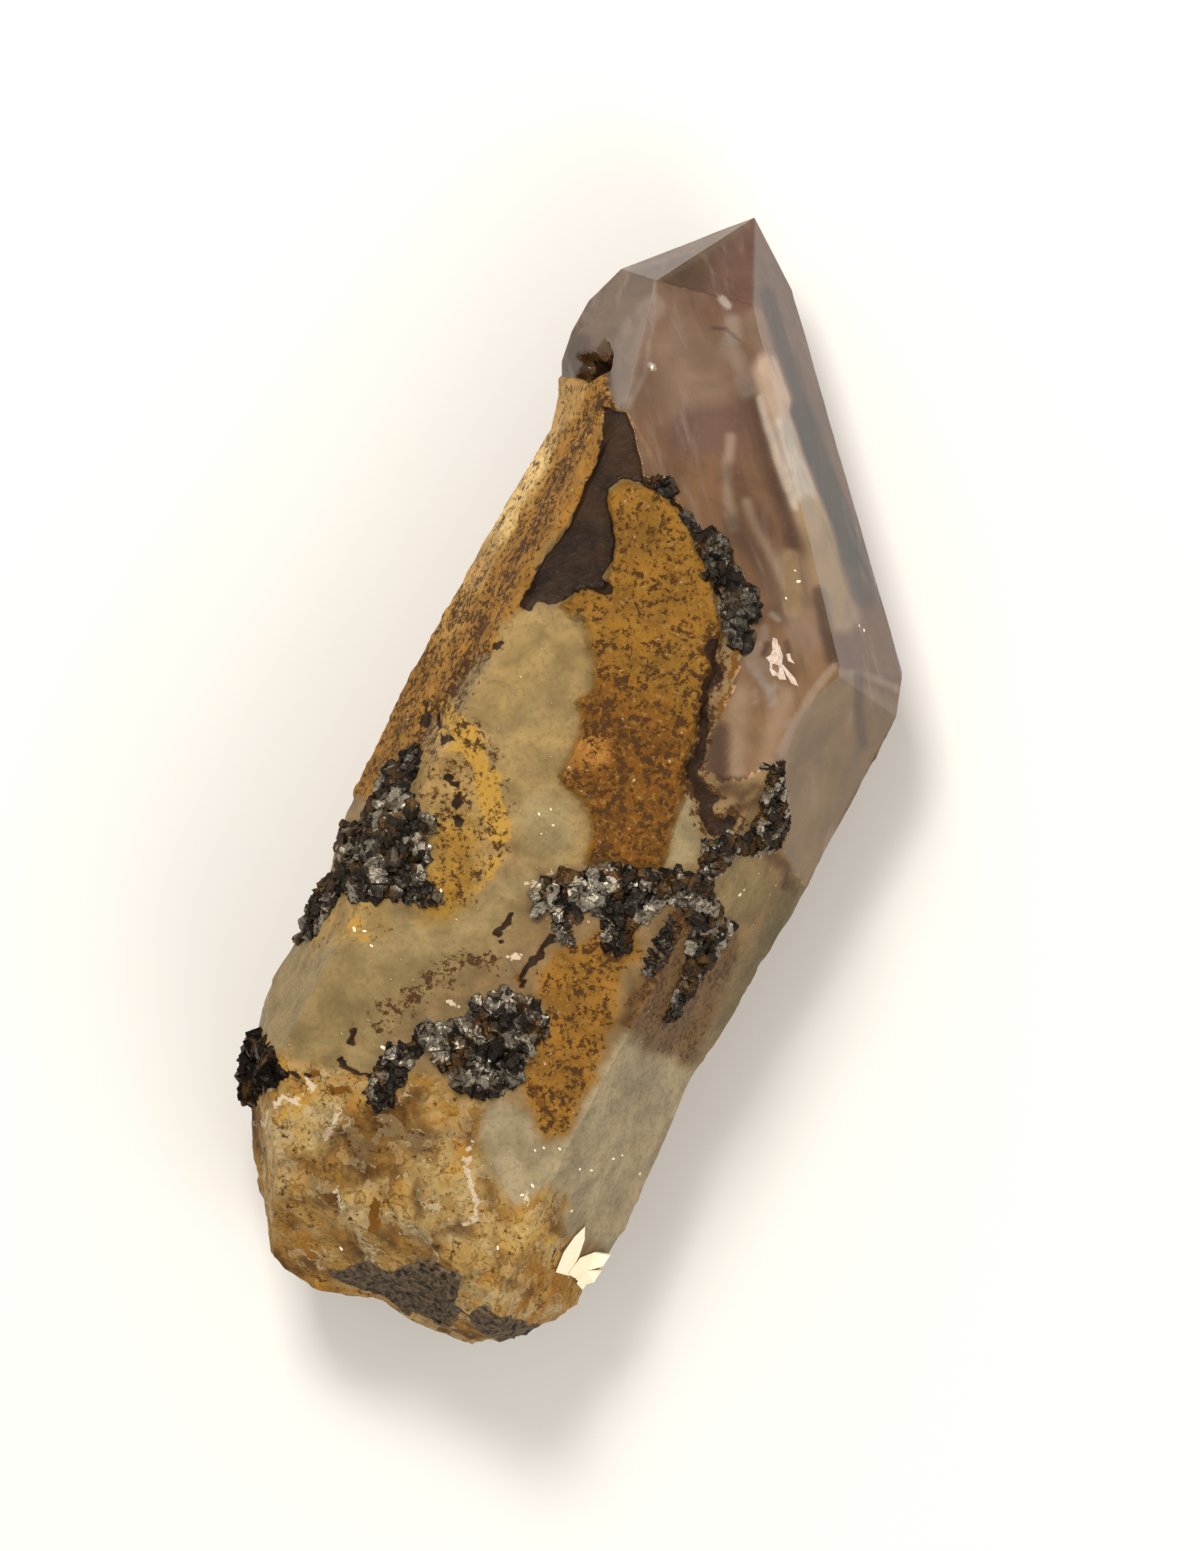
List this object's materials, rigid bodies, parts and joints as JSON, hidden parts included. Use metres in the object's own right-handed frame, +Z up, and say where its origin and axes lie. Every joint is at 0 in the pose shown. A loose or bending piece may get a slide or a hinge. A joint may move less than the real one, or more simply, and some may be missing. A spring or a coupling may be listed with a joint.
{
  "type": "ametrine point",
  "caption": "Natural quartz point lying on its back, with a clear smoky violet tip, an ochre crusted body, dark goethite growths and a broken base.",
  "frame": {"origin": "middle of the object's box, on the surface it lies on", "axes": "+Y along the crystal from its broken base to its tip, +Z up out of the front face that the picture shows, +X to the right as seen from the front with the tip away from the viewer"},
  "size_m": [0.0294, 0.0722, 0.0216],
  "materials": {
    "quartz": "glossy, clear at the tip and cloudy below",
    "goethite": "metallic, glittering"
  },
  "bodies": {
    "root": {"quartz_point": "quartz", "goethite_string": "goethite", "goethite_left_cluster": "goethite", "goethite_centre_band": "goethite", "goethite_right_patch": "goethite", "goethite_lower_cluster": "goethite", "goethite_knob": "goethite"}
  },
  "joints": []
}
